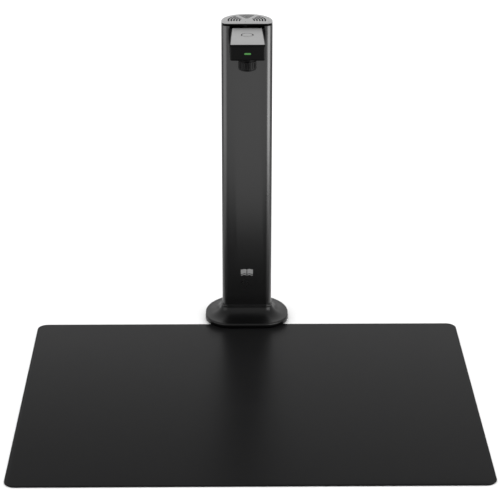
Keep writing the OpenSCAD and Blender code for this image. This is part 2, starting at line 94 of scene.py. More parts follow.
# an output socket that takes part in plain arithmetic
class Wire:
    def __init__(self, paint, socket):
        self.paint = paint
        self.socket = socket

    def __add__(self, other):
        return self.paint.math("ADD", self, other)

    def __sub__(self, other):
        return self.paint.math("SUBTRACT", self, other)

    def __mul__(self, other):
        return self.paint.math("MULTIPLY", self, other)

    def __gt__(self, other):
        return self.paint.math("GREATER_THAN", self, other)

    def __rsub__(self, other):
        return self.paint.math("SUBTRACT", other, self)

    __radd__ = __add__
    __rmul__ = __mul__


class Paint:
    def __init__(self, name):
        self.material = bpy.data.materials.new(name)
        self.material.use_nodes = True
        self.tree = self.material.node_tree
        self.shader = self.tree.nodes["Principled BSDF"]

    def node(self, kind, settings=None, out=0, **inputs):
        made = self.tree.nodes.new("ShaderNode" + kind)
        for key, value in (settings or {}).items():
            setattr(made, key, value)
        for key, value in inputs.items():
            numbered = key[0] == "i" and key[1:].isdigit()      # i0, i1 and so on name a socket by place
            self.plug(made.inputs[int(key[1:]) if numbered else key], value)
        return Wire(self, made.outputs[out])

    def plug(self, socket, value):
        if isinstance(value, Wire):
            self.tree.links.new(value.socket, socket)
        else:
            socket.default_value = value

    def math(self, operation, a, b):
        return self.node("Math", {"operation": operation}, i0=a, i1=b)

    def blend(self, factor, a, b):
        return self.node("Mix", {"data_type": "RGBA"}, out=2, i0=factor, i6=a, i7=b)

    def place(self, stretch=(1, 1, 1)):
        return self.node("Mapping", {"vector_type": "TEXTURE"}, Vector=self.node("TexCoord", out=3),
                         Scale=stretch)

    def noise(self, size, detail=3, stretch=(1, 1, 1)):
        return self.node("TexNoise", out=0, Vector=self.place(stretch), Scale=1 / size,
                         Detail=detail, Roughness=0.55)

    def bump(self, height, distance, strength=1.0):
        return self.node("Bump", Height=height, Distance=distance, Strength=strength)

    def finish(self, **inputs):
        for key, value in inputs.items():
            self.plug(self.shader.inputs[key.replace("_", " ")], value)
        return self.material


def tint(colour, factor=1.0):
    return tuple(min(1, c * factor) for c in colour[:3]) + (1,)


# moulded plastic: fine spark grain, slow change of gloss, a little lighter where handled
def plastic(name, colour, roughness=0.3, ior=1.5, grain=0.25 * mm, depth=0.004 * mm, handled=0.12):
    paint = Paint(name)
    fine = paint.noise(grain, 2)
    slow = paint.noise(34 * mm, 3)
    cloud = paint.noise(6 * mm, 4)
    return paint.finish(
        Base_Color=paint.blend(slow * handled + cloud * 0.05, tint(colour), tint(colour, 1.5)),
        Roughness=slow * 0.05 + cloud * 0.03 + (roughness - 0.04),
        IOR=ior,
        Normal=paint.bump(fine, depth, 0.6))


def metal(name, colour, roughness=0.3, drawn=(1, 1, 14), size=0.3 * mm):
    paint = Paint(name)
    lines = paint.noise(size, 3, drawn)
    slow = paint.noise(14 * mm, 3)
    return paint.finish(
        Base_Color=paint.blend(lines * 0.5, tint(colour, 0.8), tint(colour, 1.1)),
        Metallic=1.0,
        Roughness=lines * 0.14 + slow * 0.1 + (roughness - 0.12),
        Normal=paint.bump(lines, 0.006 * mm, 0.5))


def rubber(name, colour):
    paint = Paint(name)
    crumb = paint.noise(0.5 * mm, 4)
    slow = paint.noise(22 * mm, 3)
    return paint.finish(
        Base_Color=paint.blend(slow * 0.5, tint(colour), tint(colour, 1.6)),
        Roughness=crumb * 0.2 + 0.62,
        Normal=paint.bump(crumb, 0.03 * mm, 0.7))


# the mat's coated face: pebbled leather grain with soft wear towards the middle
def matFace(name, colour):
    paint = Paint(name)
    cells = paint.node("TexVoronoi", {"feature": "F1"}, out=0, Vector=paint.place(), Scale=1 / (0.9 * mm))
    fine = paint.noise(0.3 * mm, 3)
    slow = paint.noise(70 * mm, 4)
    grain = cells * 0.7 + fine * 0.3
    return paint.finish(
        Base_Color=paint.blend(slow * 0.35 + grain * 0.2, tint(colour), tint(colour, 1.8)),
        Roughness=slow * 0.05 + grain * 0.05 + 0.27,
        IOR=1.105,
        Normal=paint.bump(grain, 0.01 * mm, 0.3))


def circuitBoard(name, colour):
    paint = Paint(name)
    tracks = paint.node("TexBrick", {"offset": 0.35, "squash": 1.6}, out=1, Vector=paint.place(),
                        Scale=1 / (9 * mm), i5=0.035)
    pads = paint.node("TexVoronoi", {"feature": "F1"}, out=0, Vector=paint.place(), Scale=1 / (3.4 * mm))
    copper = 1 - (pads > 0.16)
    dust = paint.noise(1.2 * mm, 3)
    laid = paint.blend(tracks * 0.55, tint(colour), tint(colour, 2.1))
    return paint.finish(
        Base_Color=paint.blend(copper * 0.8, laid, (0.62, 0.5, 0.26, 1)),
        Roughness=dust * 0.15 + 0.28 - copper * 0.05,
        Normal=paint.bump(tracks * 0.6 + copper * 0.4, 0.02 * mm, 0.6))


def weave(name, colour, pitch=0.45 * mm):
    paint = Paint(name)
    across = paint.node("TexWave", {"bands_direction": "X"}, out=1, Vector=paint.place(), Scale=0.314 / pitch)
    along = paint.node("TexWave", {"bands_direction": "Y"}, out=1, Vector=paint.place(), Scale=0.314 / pitch)
    threads = across * along
    fuzz = paint.noise(0.2 * mm, 3)
    return paint.finish(
        Base_Color=paint.blend(threads * 0.8 + fuzz * 0.2, tint(colour, 0.4), tint(colour, 2.2)),
        Roughness=fuzz * 0.2 + 0.7,
        Normal=paint.bump(threads, 0.08 * mm, 0.8))


def litPlastic(name, colour, glow, power):
    paint = Paint(name)
    haze = paint.noise(1.4 * mm, 3)
    return paint.finish(
        Base_Color=paint.blend(haze * 0.3, tint(colour), tint(colour, 0.7)),
        Roughness=haze * 0.1 + 0.22,
        Emission_Color=paint.blend(haze * 0.35, tint(glow), tint(glow, 0.7)),
        Emission_Strength=power,
        Normal=paint.bump(haze, 0.004 * mm, 0.4))


def glass(name, colour, alpha, roughness=0.03):
    paint = Paint(name)
    haze = paint.noise(3 * mm, 3)
    paint.material.surface_render_method = "BLENDED"
    return paint.finish(
        Base_Color=paint.blend(haze * 0.4, tint(colour), tint(colour, 0.7)),
        Roughness=haze * 0.02 + roughness,
        Alpha=haze * 0.05 + (alpha - 0.025),
        IOR=1.6,
        Coat_Weight=0.6,
        Coat_Tint=(0.6, 0.5, 1.0, 1),
        Coat_IOR=2.0)


finishes = {
    "mat_face": matFace("matFace", (0.0055, 0.0055, 0.0057)),
    "soft_rubber": rubber("softRubber", (0.008, 0.008, 0.008)),
    "black_shell": plastic("blackShell", (0.0014, 0.0014, 0.0015), 0.3, 1.245, depth=0.002 * mm),
    "column_grey": plastic("columnGrey", (0.001, 0.001, 0.0011), 0.285, 1.56, depth=0.002 * mm),
    "cap_grey": plastic("capGrey", (0.265, 0.265, 0.265), 0.45, 1.28, handled=0.05),
    "head_black": plastic("headBlack", (0.0012, 0.0012, 0.0013), 0.36, 1.165),
    "dark_steel": metal("blackenedSteel", (0.03, 0.03, 0.032), 0.42),
    "plain_steel": metal("platedSheet", (0.5, 0.5, 0.52), 0.34),
    "screw_steel": metal("screwSteel", (0.62, 0.62, 0.64), 0.26, (1, 1, 1)),
    "board_green": circuitBoard("solderMask", (0.012, 0.09, 0.035)),
    "board_white": circuitBoard("whiteBoard", (0.6, 0.6, 0.58)),
    "spacer_brass": metal("turnedBrass", (0.72, 0.5, 0.22), 0.28, (1, 1, 0.1)),
    "chip_black": plastic("chipBlack", (0.01, 0.01, 0.011), 0.5),
    "fin_aluminium": metal("finAluminium", (0.66, 0.67, 0.69), 0.32),
    "ribbon_white": plastic("ribbonWhite", (0.62, 0.6, 0.5), 0.45),
    "socket_metal": metal("socketShell", (0.58, 0.58, 0.6), 0.24),
    "mesh_cloth": weave("grilleCloth", (0.003, 0.003, 0.0033)),
    "cone_paper": rubber("conePaper", (0.05, 0.05, 0.055)),
    "washer_plastic": plastic("washerAcetal", (0.7, 0.7, 0.66), 0.4),
    "status_green": litPlastic("statusGreen", (0.02, 0.1, 0.02), (0.1, 0.55, 0.05), 0.24),
    "lens_glass": glass("lensGlass", (0.10, 0.12, 0.2), 0.4),
    "sensor_blue": glass("sensorDie", (0.03, 0.04, 0.16), 0.95, 0.08),
    "diffuser_white": litPlastic("opalDiffuser", (0.8, 0.8, 0.77), (1, 1, 0.97), 0.12),
}

for nodeName, cadObject in frame["nodes"].items():
    for slot in cadObject.material_slots:
        slot.material = finishes[slotOf[nodeName]]
print("finishes made")


def isEdge(item):
    return isinstance(item, bmesh.types.BMEdge)


def turnOut(bm):
    bmesh.ops.recalc_face_normals(bm, faces=bm.faces)


# makes a shown object of a bmesh
def newPiece(name, bm, finish, crease=35):
    bmesh.ops.remove_doubles(bm, verts=bm.verts, dist=1e-7)
    mesh = bpy.data.meshes.new(name)
    bm.to_mesh(mesh)
    bm.free()
    mesh.materials.append(finish)
    piece = bpy.data.objects.new(name, mesh)
    bpy.context.scene.collection.objects.link(piece)
    smoothShade(piece, crease)
    return piece


# makes the piece that stands for a CAD node and rides with it
def addPiece(name, bm, stand, crease=35):
    piece = newPiece(name, bm, finishes[slotOf[stand]], crease)
    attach(piece, bodyOf[stand])
    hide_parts(stand)
    return piece


def smoothShade(piece, crease=35):
    piece.data.shade_smooth()
    piece.data.set_sharp_from_angle(angle=math.radians(crease))


# gives the chosen faces of a piece another finish
def repaint(piece, slotName, chosen):
    piece.data.materials.append(finishes[slotName])
    for face in piece.data.polygons:
        if chosen(face):
            face.material_index = 1


def bevelEdges(bm, edges, width, segments):
    bmesh.ops.bevel(bm, geom=edges, offset=width, segments=segments, affect="EDGES", profile=0.5,
                    material=-1, clamp_overlap=True)


def softenEdges(bm, width, segments=2, limit=40):
    sharp = [e for e in bm.edges if len(e.link_faces) == 2 and e.calc_face_angle(0) > math.radians(limit)]
    bevelEdges(bm, sharp, width, segments)


# rounds what is still sharp after a boolean cut, and can give the rounds a darker finish as painted shade on
# the edges
def bevelPiece(piece, width, segments=2, limit=40, paintedShadeIndex=-1):
    bevel = piece.modifiers.new("soft edges", "BEVEL")
    bevel.width = width
    bevel.segments = segments
    bevel.limit_method = "ANGLE"
    bevel.angle_limit = math.radians(limit)
    bevel.material = paintedShadeIndex


# cuts or joins a piece with each of the given solids in turn
def carve(piece, tools, operation="DIFFERENCE"):
    for shape in tools:
        turnOut(shape)
        tool = bpy.data.objects.new("tool", bpy.data.meshes.new("tool"))
        bpy.context.scene.collection.objects.link(tool)
        shape.to_mesh(tool.data)
        shape.free()
        cut = piece.modifiers.new("cut", "BOOLEAN")
        cut.operation = operation
        cut.solver = "EXACT"
        cut.object = tool
        ready = piece.evaluated_get(bpy.context.evaluated_depsgraph_get())
        shaped = bpy.data.meshes.new_from_object(ready)
        piece.modifiers.clear()
        old, piece.data = piece.data, shaped
        shaped.name = piece.name
        bpy.data.meshes.remove(old)
        bpy.data.objects.remove(tool)
    smoothShade(piece)


# a box between two corners
def block(lowest, highest):
    bm = bmesh.new()
    lowest, highest = Vector(lowest), Vector(highest)
    bmesh.ops.create_cube(bm, size=1, matrix=Matrix.Translation((lowest + highest) / 2)
                          @ Matrix.Diagonal((*(highest - lowest), 1)))
    return bm


def edgesAlong(bm, axis):
    return [e for e in bm.edges
            if abs((e.verts[0].co - e.verts[1].co)[axis]) > 0.9 * (e.verts[0].co - e.verts[1].co).length]


# a box whose edges along one axis are rounded, then softened all over
def roundedBlock(lowest, highest, axis, corner, softened=0.0):
    bm = block(lowest, highest)
    bevelEdges(bm, edgesAlong(bm, axis), corner, 8)
    if softened:
        softenEdges(bm, softened, 2, 60)
    return bm


# a round post along an axis, from one end to the other
def post(radius, begin, end, axis=2, across=(0, 0), steps=48, bm=None):
    bm = bm or bmesh.new()
    place = list(across)
    place.insert(axis, (begin + end) / 2)
    turn = {0: Matrix.Rotation(math.pi / 2, 4, "Y"), 1: Matrix.Rotation(-math.pi / 2, 4, "X"),
            2: Matrix.Identity(4)}[axis]
    bmesh.ops.create_cone(bm, cap_ends=True, segments=steps, radius1=radius, radius2=radius,
                          depth=end - begin, matrix=Matrix.Translation(place) @ turn)
    return bm


# a solid of revolution from radius and height pairs round an upright axis
def turned(profile, centre=(0, 0), steps=96, closed=True):
    bm = bmesh.new()
    verts = [bm.verts.new((centre[0] + r, centre[1], z)) for r, z in profile]
    edges = [bm.edges.new(pair) for pair in zip(verts, verts[1:])]
    if closed:
        edges.append(bm.edges.new((verts[-1], verts[0])))
    bmesh.ops.spin(bm, geom=verts + edges, cent=(centre[0], centre[1], 0), axis=(0, 0, 1),
                   angle=2 * math.pi, steps=steps, use_merge=True)
    bmesh.ops.remove_doubles(bm, verts=bm.verts, dist=1e-6 * 0.5)
    turnOut(bm)
    return bm


def quarter(count):
    return [math.radians(90 * i / count) for i in range(count + 1)]


# a closed outline with a round back, straight sides and a flat front with round corners
def dLoop(bm, radius, front, corner, z, steps=64, cornerSteps=12):
    start = bm.verts.new((radius, 0, z))
    swept = bmesh.ops.spin(bm, geom=[start], cent=(0, 0, 0), axis=(0, 0, 1), angle=math.pi, steps=steps)
    end = [v for v in swept["geom_last"] if isinstance(v, bmesh.types.BMVert)][0]
    left = bm.verts.new((-radius, -front, z))
    right = bm.verts.new((radius, -front, z))
    back = [start]
    while back[-1] != end:
        known = set(back)
        back.append([e.other_vert(back[-1]) for e in back[-1].link_edges
                     if e.other_vert(back[-1]) not in known][0])
    bm.faces.new(back + [left, right])
    bmesh.ops.bevel(bm, geom=[left, right], offset=corner, segments=cornerSteps,
                    affect="VERTICES", profile=0.5, material=-1)
    face = [f for f in bm.faces if len(f.verts) > steps and abs(f.calc_center_median().z - z) < 2e-6][-1]
    edges = list(face.edges)
    bmesh.ops.delete(bm, geom=[face], context="FACES_ONLY")
    return edges


def bridgeAll(bm, loops, closed):
    pairs = list(zip(loops, loops[1:])) + ([(loops[-1], loops[0])] if closed else [])
    for first, second in pairs:
        bmesh.ops.bridge_loops(bm, edges=first + second)


scanMat = {"cornerRadius": 11 * mm, "edgeRound": 0.5 * mm, "backingInset": 0.6 * mm}


def matLayer(name, node, corner, edgeRound):
    top = high(node).z
    bm = block(low(node), high(node))
    bevelEdges(bm, edgesAlong(bm, 2), corner, 14)
    rim = [e for e in bm.edges if all(v.co.z > top - 1e-6 for v in e.verts)]
    bevelEdges(bm, rim, edgeRound, 4)
    addPiece(name, bm, node)


matLayer("scanMatFace", "mat_surface", scanMat["cornerRadius"], scanMat["edgeRound"])
matLayer("scanMatBacking", "mat_backing", scanMat["cornerRadius"] - scanMat["backingInset"], 0.1 * mm)
print("mat made")


column = {"cornerRadius": 7 * mm, "wall": 2 * mm, "edgeRound": 0.35 * mm, "slotBelowHead": 10.54 * mm,
          "slotSide": 0.1 * mm, "portMargin": 0.3 * mm}
columnLow = low("column_shell")
columnHigh = high("column_shell")
colRadius = columnHigh.x
colFront = -columnLow.y


# a skin swept up the outline, its slot and port taken out, then given its wall
def columnShell():
    slotHalf = high("hinge_bracket").x - column["slotSide"]
    slotLow = low("head_case").z - column["slotBelowHead"]
    bm = bmesh.new()
    loop = dLoop(bm, colRadius, colFront, column["cornerRadius"], columnLow.z)
    for height in (slotLow, columnHigh.z):
        swept = bmesh.ops.extrude_edge_only(bm, edges=loop)["geom"]
        loop = [e for e in swept if isEdge(e) and len(e.link_faces) == 1]
        for vert in {v for e in loop for v in e.verts}:
            vert.co.z = height
    portLow = low("port_bezel") - Vector((column["portMargin"],) * 3)
    portHigh = high("port_bezel") + Vector((column["portMargin"],) * 3)
    for axis, places in ((0, (slotHalf, -slotHalf, portHigh.x, portLow.x)), (2, (portHigh.z, portLow.z))):
        for place in places:
            at = Vector((0, 0, 0))
            at[axis] = place
            bmesh.ops.bisect_plane(bm, geom=bm.verts[:] + bm.edges[:] + bm.faces[:], dist=1e-7,
                                   plane_co=at, plane_no=Vector([float(i == axis) for i in range(3)]))
    gone = []
    for face in bm.faces:
        c = face.calc_center_median()
        inSlot = c.y < -colFront + 0.1 * mm and abs(c.x) < slotHalf and c.z > slotLow
        inPort = c.y > 0 and portLow.x < c.x < portHigh.x and portLow.z < c.z < portHigh.z
        if inSlot or inPort:
            gone.append(face)
    bmesh.ops.delete(bm, geom=gone, context="FACES")
    turnOut(bm)
    if sum(f.calc_center_median().xy.dot(f.normal.xy) < 0 for f in bm.faces) > len(bm.faces) / 2:
        bmesh.ops.reverse_faces(bm, faces=bm.faces)
    bmesh.ops.solidify(bm, geom=bm.faces[:], thickness=column["wall"])
    turnOut(bm)
    softenEdges(bm, column["edgeRound"], 3, 60)
    addPiece("columnShell", bm, "column_shell", crease=30)


bookMark = {"aboveFoot": 39.5 * mm, "leafWide": 6.4 * mm, "leafTall": 5.4 * mm, "gap": 0.4 * mm,
            "lift": 0.9 * mm, "thick": 0.08 * mm, "steps": 8, "bowReach": 1.35, "bowShare": 0.8,
            "coverBelow": 0.34, "coverTall": 0.17}


# a plain open book printed low on the column: two bowed leaves and the line of the cover under them
def openBook():
    bm = bmesh.new()
    wide, tall, gap = bookMark["leafWide"], bookMark["leafTall"], bookMark["gap"]
    for side in (-1, 1):
        for base, height in ((0, tall), (-bookMark["coverBelow"] * tall, bookMark["coverTall"] * tall)):
            made = bmesh.ops.create_grid(bm, x_segments=bookMark["steps"], y_segments=1, size=0.5)["verts"]
            for vert in made:
                along, up = vert.co.x + 0.5, vert.co.y + 0.5
                arch = math.sin(math.pi * min(1, along * bookMark["bowReach"]))
                bow = arch * bookMark["lift"] * bookMark["bowShare"]
                vert.co = Vector((side * (gap + along * wide), 0, base + up * height + bow))
    bmesh.ops.translate(bm, verts=bm.verts, vec=(0, -colFront, high("base_shell").z + bookMark["aboveFoot"]))
    turnOut(bm)
    for face in bm.faces:
        if face.normal.y > 0:
            face.normal_flip()
    grown = bmesh.ops.extrude_face_region(bm, geom=bm.faces[:])["geom"]
    bmesh.ops.translate(bm, verts=[v for v in grown if isinstance(v, bmesh.types.BMVert)],
                        vec=(0, -bookMark["thick"], 0))
    turnOut(bm)
    piece = newPiece("openBookMark", bm, finishes["cap_grey"])
    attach(piece, "stand")


columnShell()
openBook()
print("column made")


foot = {"cornerRadius": 29 * mm, "rimRound": 1.8 * mm, "wall": 2.4 * mm, "collarWidth": 1.3 * mm,
        "collarRound": 0.6 * mm, "rimTop": 7.6 * mm, "flareSteps": 22, "gap": 0.1 * mm, "padRadius": 5.5 * mm,
        "lowerEdge": 0.45 * mm, "neckDeep": 3 * mm, "wellSide": 3.6 * mm, "wellDeep": 7.6 * mm,
        "seatSide": 8.5 * mm, "seatUnderRim": 0.8 * mm, "paintedShadeFacingUp": 0.2,
        "padDish": 0.25 * mm, "padDishSide": 0.72, "padLandSide": 0.78, "padEdge": 0.5 * mm}
footHigh = high("base_shell")
footLow = low("base_shell")
footSide = footHigh.x - colRadius


# one outline of the foot, standing out from the column by side
def footLoop(bm, side, z):
    share = side / footSide
    return dLoop(bm, colRadius + side, colFront + share * (-footLow.y - colFront),
                 column["cornerRadius"] + share * (foot["cornerRadius"] - column["cornerRadius"]), z,
                 steps=96, cornerSteps=22)


def footRing(name, node, stations, crease):
    bm = bmesh.new()
    bridgeAll(bm, [footLoop(bm, side, z) for side, z in stations], True)
    turnOut(bm)
    return addPiece(name, bm, node, crease)


def footShell():
    rimRound, rimTop, wall, gap = foot["rimRound"], foot["rimTop"], foot["wall"], foot["gap"]
    top = footHigh.z
    flareOut = footSide - rimRound
    flareDeep = flareOut - foot["collarWidth"]
    stations = [(footSide - foot["lowerEdge"], footLow.z), (footSide - 0.12 * mm, footLow.z + 0.12 * mm),
                (footSide, footLow.z + foot["lowerEdge"])]
    stations += [(footSide - rimRound * (1 - math.cos(a)), rimTop - rimRound * (1 - math.sin(a)))
                 for a in quarter(8)]
    stations += [(flareOut - flareDeep * math.cos(a), top - (top - rimTop) * math.sin(a))
                 for a in reversed(quarter(foot["flareSteps"])[:-1])]
    stations += [(gap, top), (gap, top - foot["neckDeep"]), (foot["wellSide"], top - foot["wellDeep"]),
                 (foot["seatSide"], rimTop - foot["seatUnderRim"]),
                 (footSide - wall, rimTop - wall), (footSide - wall, footLow.z)]
    footRing("footShell", "base_shell", stations, 38)


def footCollar():
    base, top, out = low("foot_collar").z, high("foot_collar").z, foot["collarWidth"]
    edge = foot["collarRound"]
    stations = [(foot["gap"], base), (out, base)]
    stations += [(out - edge * (1 - math.cos(a)), top - edge * (1 - math.sin(a))) for a in quarter(5)]
    stations.append((foot["gap"], top))
    piece = footRing("footCollar", "foot_collar", stations, 50)
    # the collar's upward faces take the duller head_black finish: painted shade that hides the highlight
    # along its top
    repaint(piece, "head_black", lambda face: face.normal.z > foot["paintedShadeFacingUp"])


def halfway(values):
    return (min(values) + max(values)) / 2


# the middles of a node's separate round solids, read from its own corners
def islands(node, apart):
    groups = []
    for vert in frame["nodes"][node].data.vertices:
        near = [g for g in groups if (g[0] - vert.co).xy.length < apart]
        if near:
            near[0].append(vert.co.copy())
        else:
            groups.append([vert.co.copy()])
    return [(halfway([p.x for p in g]), halfway([p.y for p in g])) for g in groups]


def rubberFeet():
    base, top, radius = low("rubber_feet").z, high("rubber_feet").z, foot["padRadius"]
    dish, edge = base + foot["padDish"], foot["padEdge"]
    profile = [(0, dish), (radius * foot["padDishSide"], dish), (radius * foot["padLandSide"], base),
               (radius - edge, base), (radius, base + edge), (radius, top), (0, top)]
    bm = bmesh.new()
    for place in islands("rubber_feet", 2.2 * radius):
        one = turned(profile, place, 48, closed=False)
        mesh = bpy.data.meshes.new("pad")
        one.to_mesh(mesh)
        one.free()
        bm.from_mesh(mesh)
        bpy.data.meshes.remove(mesh)
    addPiece("rubberFeet", bm, "rubber_feet")


footShell()
footCollar()
rubberFeet()
print("foot made")


cap = {"undercut": 1.5 * mm, "edgeRound": 0.45 * mm, "skirtWall": 1.2 * mm, "skirtGap": 0.2 * mm,
       "skirtTall": 3 * mm, "skirtBack": 6 * mm, "micRadius": 0.6 * mm, "steep": 0.6, "cutEdge": 0.14 * mm}
grille = {"rows": 5, "firstRadius": 8.1 * mm, "pitch": 2.95 * mm, "slotWidth": 1.5 * mm,
          "centreY": 1.5 * mm, "sectors": [(-6, 60), (60, 120), (120, 186)], "spokeHalf": 2.27 * mm}
capTop = high("top_cap").z
capUnder = columnHigh.z


# a plate with an undercut lip, its skirt below and the grille cut through
def topCap():
    bm = bmesh.new()
    rounded, undercut = cap["edgeRound"], cap["undercut"]
    stations = [(undercut, capUnder), (undercut * 0.9, capUnder + 0.1 * mm)]
    stations += [(0.12 * mm, capTop - rounded - 0.25 * mm)]
    stations += [(rounded * (1 - math.cos(a)), capTop - rounded * (1 - math.sin(a))) for a in quarter(4)]
    loops = [dLoop(bm, colRadius - side, colFront - side, column["cornerRadius"] - side, z)
             for side, z in stations]
    bridgeAll(bm, loops, False)
    for loop in (loops[0], loops[-1]):
        bmesh.ops.contextual_create(bm, geom=loop)
    turnOut(bm)
    piece = addPiece("topCap", bm, "top_cap")
    carve(piece, [capSkirt()], "UNION")
    carve(piece, [grilleCutters()])
    repaint(piece, "black_shell", lambda face: face.normal.z < cap["steep"])
    # the rounds on the cut edges take the black finish: painted shade that darkens the grille's slot edges
    bevelPiece(piece, cap["cutEdge"], 2, 50, 1)


def grilleCutters():
    mic = middle("microphone")
    cutters = post(cap["micRadius"], capUnder - 1 * mm, capTop + 1 * mm, 2, mic.xy, 32)
    for row in range(grille["rows"]):
        radius = grille["firstRadius"] + grille["pitch"] * row
        lean = math.degrees(grille["spokeHalf"] / radius)
        for first, last in grille["sectors"]:
            begin = first - lean if first < 0 else first + lean
            finish = last + lean if last > 180 else last - lean
            arcPrism(cutters, radius, begin, finish)
    return cutters


# a curved bar: an upright rectangle swept round the grille's centre
def arcPrism(bm, radius, begin, finish):
    centre = Vector((0, grille["centreY"], 0))
    half = grille["slotWidth"] / 2
    turn = Matrix.Rotation(math.radians(begin), 3, "Z")
    corners = [(radius - half, capUnder - 1 * mm), (radius + half, capUnder - 1 * mm),
               (radius + half, capTop + 1 * mm), (radius - half, capTop + 1 * mm)]
    verts = [bm.verts.new(centre + turn @ Vector((r, 0, 0)) + Vector((0, 0, z))) for r, z in corners]
    face = bm.faces.new(verts)
    bmesh.ops.spin(bm, geom=[face], cent=centre, axis=(0, 0, 1),
                   angle=math.radians(finish - begin), steps=14)


def capSkirt():
    bm = bmesh.new()
    inset = column["wall"] + cap["skirtGap"]
    loops = [dLoop(bm, colRadius - side, colFront - side, column["cornerRadius"] - side, z)
             for side, z in ((inset, capUnder - cap["skirtTall"]), (inset, capUnder + 0.5 * mm),
                             (inset + cap["skirtWall"], capUnder + 0.5 * mm),
                             (inset + cap["skirtWall"], capUnder - cap["skirtTall"]))]
    bridgeAll(bm, loops, True)
    sliced = bmesh.ops.bisect_plane(bm, geom=bm.verts[:] + bm.edges[:] + bm.faces[:], dist=1e-7,
                                    plane_co=(0, -colFront + cap["skirtBack"], 0), plane_no=(0, -1, 0),
                                    clear_outer=True)
    bmesh.ops.holes_fill(bm, edges=[e for e in sliced["geom_cut"] if isEdge(e)], sides=0)
    return bm


def grilleCloth():
    base, top, reach = low("grille_mesh").z, high("grille_mesh").z, high("grille_mesh").x
    profile = [(0, top), (reach * 0.9, top), (reach, top - 0.1 * mm), (reach, base), (0, base)]
    bm = turned(profile, (0, grille["centreY"]), 96, closed=False)
    sliced = bmesh.ops.bisect_plane(bm, geom=bm.verts[:] + bm.edges[:] + bm.faces[:], dist=1e-7,
                                    plane_co=(0, low("grille_mesh").y, 0), plane_no=(0, -1, 0),
                                    clear_outer=True)
    bmesh.ops.holes_fill(bm, edges=[e for e in sliced["geom_cut"] if isEdge(e)], sides=0)
    turnOut(bm)
    addPiece("grilleCloth", bm, "grille_mesh")


topCap()
grilleCloth()
print("cap and grille made")


head = {"rootHalf": 16.5 * mm, "cornerRadius": 2 * mm, "wall": 1.8 * mm, "seam": 0.12 * mm,
        "topRound": 0.5 * mm, "sideRound": 1.3 * mm, "knuckleGap": 0.3 * mm, "hollowShort": 6 * mm,
        "windowHalf": 13.7 * mm, "windowDeep": 18 * mm, "windowBelow": 7 * mm, "windowAbove": 5 * mm,
        "screwHead": 1.9 * mm, "screwBore": 1.1 * mm, "counterbore": 2.0 * mm, "bossRadius": 2.2 * mm,
        "bossGap": 0.2 * mm, "bossBore": 1.0 * mm, "bossBoreDeep": 7 * mm, "knuckleReach": 30 * mm,
        "insertGap": 0.1 * mm, "statusDome": 0.35 * mm, "flat": 0.985}
headLow = low("head_case")
headSeam = high("head_case").z
headTop = high("head_cover").z
headRear = high("head_case").y
lidRear = high("head_cover").y
pin = middle("hinge_pin")
knuckleRadius = high("hinge_knuckle").z - pin.z + head["knuckleGap"]
lensAxis = middle("focus_ring")
buttonAxis = middle("scan_button")
screwPlaces = islands("head_screws_set", 6 * mm)


# a tapering block with the head's plan, drawn in by inset on its front and sides
def headBlock(inset, base, top, rear):
    bm = bmesh.new()
    front = headLow.y + inset
    for vert in bmesh.ops.create_cube(bm, size=2)["verts"]:
        vert.co.y = front if vert.co.y < 0 else rear
        share = (vert.co.y - headLow.y) / (headRear - headLow.y)
        vert.co.x *= -headLow.x + share * (head["rootHalf"] + headLow.x) - inset
        vert.co.z = base if vert.co.z < 0 else top
    return bm


def atHeight(edge, z):
    return all(abs(v.co.z - z) < 1e-6 for v in edge.verts)


def atRear(edge):
    return all(v.co.y > headRear - 1e-6 for v in edge.verts)


def frontUprights(bm):
    return [e for e in edgesAlong(bm, 2) if e.verts[0].co.y < headLow.y + 10 * mm]


def knuckleCutter():
    reach = head["knuckleReach"]
    return post(knuckleRadius, -reach, reach, 0, (pin.y, pin.z), 96)


def headCase():
    bm = headBlock(0, headLow.z, headSeam, headRear)
    below = [e for e in bm.edges if atHeight(e, headLow.z) and not atRear(e)]
    bevelEdges(bm, frontUprights(bm) + below, head["cornerRadius"], 8)
    bevelEdges(bm, [e for e in bm.edges if atHeight(e, headSeam) and not atRear(e)], head["seam"], 2)
    turnOut(bm)
    piece = addPiece("headCase", bm, "head_case")
    wall = head["wall"]
    floorTop = headLow.z + wall
    statusLow, statusHigh = low("status_lens"), high("status_lens")
    lightLow, lightHigh = low("light_diffuser"), high("light_diffuser")
    gap, half = head["insertGap"], head["windowHalf"]
    tools = [headBlock(wall, floorTop, headSeam + 5 * mm, headRear - head["hollowShort"]),
             block((-half, headRear - head["windowDeep"], pin.z - head["windowBelow"]),
                   (half, headRear + 2 * mm, pin.z + head["windowAbove"])),
             knuckleCutter(),
             post(high("lens_barrel").x + gap, headLow.z - 1 * mm, floorTop + 1 * mm, 2, lensAxis.xy, 96),
             block((lightLow.x - gap, lightLow.y - gap, headLow.z - 1 * mm),
                   (lightHigh.x + gap, lightHigh.y + gap, floorTop + 1 * mm)),
             roundedBlock((statusLow.x - gap, headLow.y - 1 * mm, statusLow.z - gap),
                          (statusHigh.x + gap, headLow.y + wall + 1 * mm, statusHigh.z + gap),
                          1, (statusHigh.z - statusLow.z) / 2)]
    for place in screwPlaces:
        tools.append(turned([(0, headLow.z - 1 * mm), (head["screwHead"], headLow.z - 1 * mm),
                             (head["screwHead"], headLow.z + head["counterbore"]),
                             (head["screwBore"], headLow.z + head["counterbore"]),
                             (head["screwBore"], floorTop + 1 * mm), (0, floorTop + 1 * mm)],
                            place, 32, closed=False))
    carve(piece, tools)
    bevelPiece(piece, 0.12 * mm, 2, 50)


